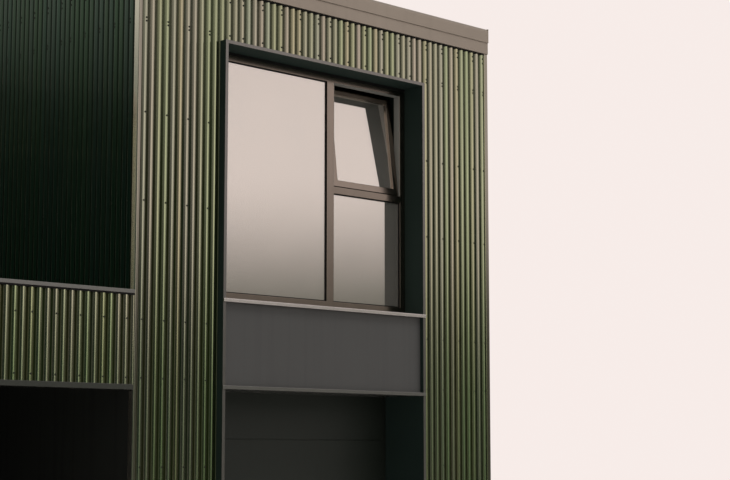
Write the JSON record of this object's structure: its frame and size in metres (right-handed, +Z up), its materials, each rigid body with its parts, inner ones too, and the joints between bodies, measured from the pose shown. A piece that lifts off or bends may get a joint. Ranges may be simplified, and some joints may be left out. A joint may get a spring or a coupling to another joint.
{
  "type": "single-family house",
  "caption": "Terrace house: gabled two-storey volume in corrugated sheet with a tall framed window over a sectional garage door, and a carport bay below a terrace parapet",
  "frame": {"origin": "middle of the footprint, on the ground", "axes": "X along the street front from the carport bay to the main volume, Y from the street to the garden, Z up"},
  "size_m": [7.4, 8.564, 8],
  "materials": {
    "corrugated_sheet": "glossy olive green coating",
    "coping": "satin grey beige coating",
    "flashing": "satin grey coating",
    "spandrel": "matt dark grey panel",
    "window_frame": "satin dark grey frame",
    "door_sheet": "satin dark grey sectional leaf",
    "glass": "clear insulating glass",
    "render": "smooth dark masonry render",
    "concrete": "plain concrete",
    "roof_sheet": "dark seamed roofing sheet",
    "chimney": "pale grey smooth stack"
  },
  "bodies": {
    "root": {"bay_party_wall": "render", "bay_rear_cladding": "corrugated_sheet", "bay_rear_wall": "render", "carport_rear_wall": "render", "chimney_cap": "chimney", "chimney_stack": "chimney", "corner_trims": "corrugated_sheet", "entrance_door": "door_sheet", "entrance_frame": "door_sheet", "front_cladding": "corrugated_sheet", "front_cladding_head": "corrugated_sheet", "front_coping": "coping", "front_sill_flashing": "flashing", "front_spandrel_flashing": "flashing", "front_spandrel_panel": "spandrel", "front_surround": "flashing", "front_wall_beams": "render", "front_wall_piers": "render", "garage_door": "door_sheet", "garage_frame": "door_sheet", "ground_slab": "concrete", "left_coping": "coping", "left_wall": "render", "main_roof": "roof_sheet", "parapet_bottom_flashing": "flashing", "parapet_cladding": "corrugated_sheet", "parapet_core": "render", "parapet_top_flashing": "flashing", "party_coping": "coping", "party_wall": "render", "rear_cladding": "corrugated_sheet", "rear_cladding_head": "corrugated_sheet", "rear_coping": "coping", "rear_door_threshold": "concrete", "rear_sill_flashing": "flashing", "rear_spandrel_flashing": "flashing", "rear_spandrel_panel": "spandrel", "rear_surround": "flashing", "rear_wall_beams": "render", "rear_wall_piers": "render", "rear_window_frames": "window_frame", "rear_window_glass": "glass", "setback_cladding": "corrugated_sheet", "setback_coping": "coping", "setback_roof": "roof_sheet", "setback_wall": "render", "side_cladding": "corrugated_sheet", "side_lining": "render", "terrace_door_frame": "window_frame", "terrace_door_glass": "glass", "terrace_slab": "concrete", "tilt_sash": "window_frame", "upper_floor": "concrete", "window_frame": "window_frame", "window_glass": "glass"}
  },
  "joints": []
}
